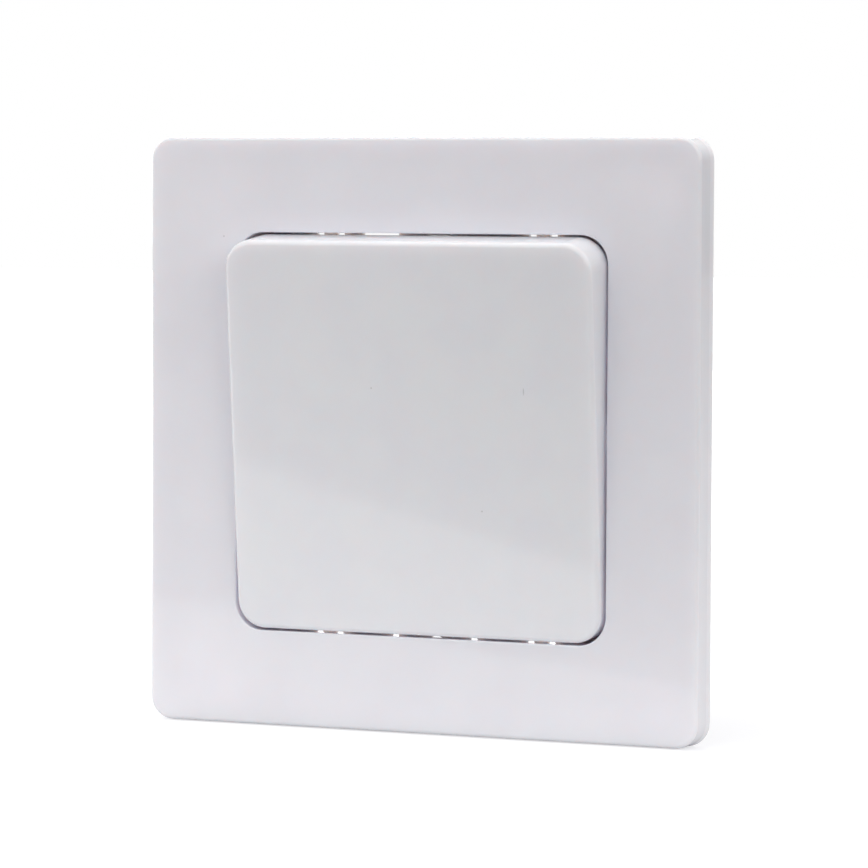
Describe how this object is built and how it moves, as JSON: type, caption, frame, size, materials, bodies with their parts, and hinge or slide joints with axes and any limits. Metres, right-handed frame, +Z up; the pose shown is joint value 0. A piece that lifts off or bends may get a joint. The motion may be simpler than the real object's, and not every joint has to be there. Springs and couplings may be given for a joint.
{
  "type": "rocker light switch",
  "caption": "Flush wall switch: a square cover frame around one tilting rocker, with support ring, housing, rocking contact, screw terminals and spreading claws.",
  "frame": {"origin": "centre of the box screw pattern on the wall plane", "axes": "+Z up, +X to the right seen from the room, +Y into the wall, the front faces -Y"},
  "size_m": [0.082, 0.0359, 0.082],
  "materials": {
    "white_gloss_frame": "glossy",
    "white_gloss_rocker": "glossy",
    "white_plastic": "satin",
    "ring_steel": "satin",
    "grey_plastic": "matte",
    "housing_plastic": "matte",
    "screw_steel": "satin",
    "yoke_plastic": "satin",
    "plunger_plastic": "satin",
    "spring_steel": "satin",
    "contact_brass": "satin",
    "contact_silver": "satin",
    "terminal_brass": "satin",
    "cage_steel": "satin",
    "claw_steel": "satin"
  },
  "bodies": {
    "base": {"cover_frame": "white_gloss_frame", "centring_frame": "white_plastic", "support_ring": "ring_steel", "bearing_cover": "grey_plastic", "mechanism_housing": "housing_plastic", "cover_screws": "screw_steel", "fixed_contact_upper": "contact_silver", "fixed_contact_lower": "contact_silver", "common_terminal": "terminal_brass", "upper_terminal": "terminal_brass", "lower_terminal": "terminal_brass", "common_cage": "cage_steel", "upper_cage": "cage_steel", "lower_cage": "cage_steel", "common_clamp_screw": "screw_steel", "upper_clamp_screw": "screw_steel", "lower_clamp_screw": "screw_steel"},
    "rocker_body": {"rocker": "white_gloss_rocker", "yoke": "yoke_plastic", "plunger_spring": "spring_steel"},
    "plunger_body": {"plunger": "plunger_plastic"},
    "lever_body": {"contact_lever": "contact_brass", "moving_contact_upper": "contact_silver", "moving_contact_lower": "contact_silver"},
    "claw_right_body": {"claw_right": "claw_steel"},
    "claw_left_body": {"claw_left": "claw_steel"},
    "claw_screw_right_body": {"claw_screw_right": "screw_steel"},
    "claw_screw_left_body": {"claw_screw_left": "screw_steel"}
  },
  "joints": [
    {"name": "rocker_tilt", "type": "hinge", "parent": "base", "child": "rocker_body", "pos_m": [0, -0.0062, 0], "axis": [-1, 0, 0], "range_deg": [0, 10.4]},
    {"name": "plunger_slide", "type": "slide", "parent": "rocker_body", "child": "plunger_body", "axis": [0, -0.9959, -0.0906], "range_m": [0, 0.0008], "stiffness_N_per_m": 800, "deforming": ["plunger_spring"]},
    {"name": "lever_rock", "type": "hinge", "parent": "base", "child": "lever_body", "pos_m": [0, 0.0099, 0], "axis": [1, 0, 0], "range_deg": [-0.4, 9.4]},
    {"name": "claw_screw_right_turn", "type": "hinge", "parent": "base", "child": "claw_screw_right_body", "pos_m": [0.0232, 0, 0], "axis": [0, 1, 0], "range_deg": [0, 1080]},
    {"name": "claw_screw_left_turn", "type": "hinge", "parent": "base", "child": "claw_screw_left_body", "pos_m": [-0.0232, 0, 0], "axis": [0, 1, 0], "range_deg": [0, 1080]},
    {"name": "claw_right_spread", "type": "hinge", "parent": "base", "child": "claw_right_body", "pos_m": [0.0218, 0.0016, 0], "axis": [0, 0, -1], "range_deg": [0, 18.5]},
    {"name": "claw_left_spread", "type": "hinge", "parent": "base", "child": "claw_left_body", "pos_m": [-0.0218, 0.0016, 0], "axis": [0, 0, 1], "range_deg": [0, 18.5]}
  ],
  "couplings": [
    {"joint": "lever_rock", "follows": "rocker_tilt", "ratio": 0.86538},
    {"joint": "claw_right_spread", "follows": "claw_screw_right_turn", "ratio": 0.016667},
    {"joint": "claw_left_spread", "follows": "claw_screw_left_turn", "ratio": 0.016667}
  ]
}
